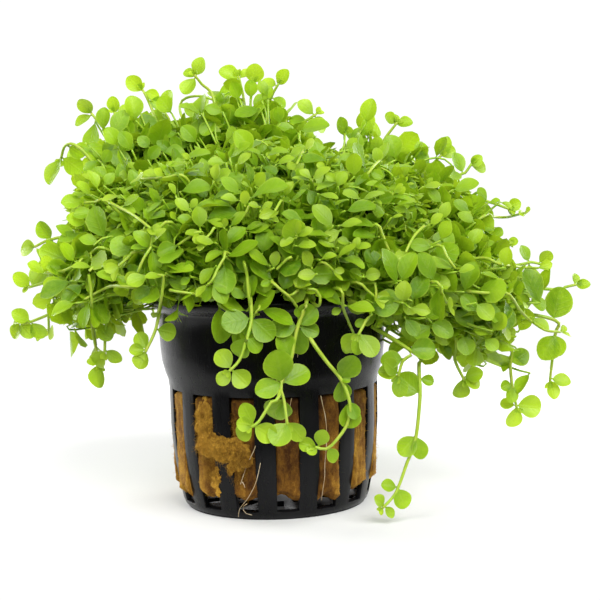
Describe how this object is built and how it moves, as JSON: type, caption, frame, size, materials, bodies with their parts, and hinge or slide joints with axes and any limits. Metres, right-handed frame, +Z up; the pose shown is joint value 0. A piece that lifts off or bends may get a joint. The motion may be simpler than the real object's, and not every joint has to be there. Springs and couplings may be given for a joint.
{
  "type": "potted monte carlo micranthemum",
  "caption": "Carpeting aquarium plant with small round leaves, a dense cushion with trailing shoots, rooted in mineral wool in a slotted black net pot.",
  "frame": {"origin": "centre of the pot's underside, on the surface that it stands on", "axes": "+Z up along the pot's axis, -Y towards the front, where the shoots trail over the pot, +X to the right"},
  "size_m": [0.1256, 0.0903, 0.0971],
  "materials": {
    "pot_plastic": "satin",
    "mineral_wool": "matte",
    "foliage": "matte",
    "shoots": "satin"
  },
  "bodies": {
    "root": {"net_pot": "pot_plastic", "rockwool_plug": "mineral_wool", "leaf_cushion": "foliage", "front_shoot_1": "shoots", "front_shoot_2": "shoots", "front_shoot_3": "shoots", "front_shoot_3_branch": "shoots", "front_shoot_4": "shoots", "front_shoot_5": "shoots", "front_shoot_6": "shoots", "front_shoot_7": "shoots", "right_shoot_1": "shoots", "right_shoot_2": "shoots", "right_shoot_3": "shoots", "right_shoot_4": "shoots", "right_shoot_5": "shoots", "right_shoot_6": "shoots", "right_shoot_7": "shoots", "left_shoot_1": "shoots", "left_shoot_2": "shoots", "left_shoot_3": "shoots", "left_shoot_4": "shoots", "left_shoot_5": "shoots", "left_shoot_6": "shoots", "top_shoot_1": "shoots", "top_shoot_2": "shoots", "top_shoot_3": "shoots", "top_shoot_4": "shoots", "top_shoot_5": "shoots", "top_shoot_6": "shoots", "top_shoot_7": "shoots", "top_shoot_8": "shoots", "top_shoot_9": "shoots", "top_shoot_10": "shoots", "top_shoot_11": "shoots", "top_shoot_12": "shoots", "top_shoot_13": "shoots", "back_shoot_1": "shoots", "back_shoot_2": "shoots", "back_shoot_3": "shoots", "back_shoot_4": "shoots", "back_shoot_5": "shoots", "back_shoot_6": "shoots"}
  },
  "joints": []
}
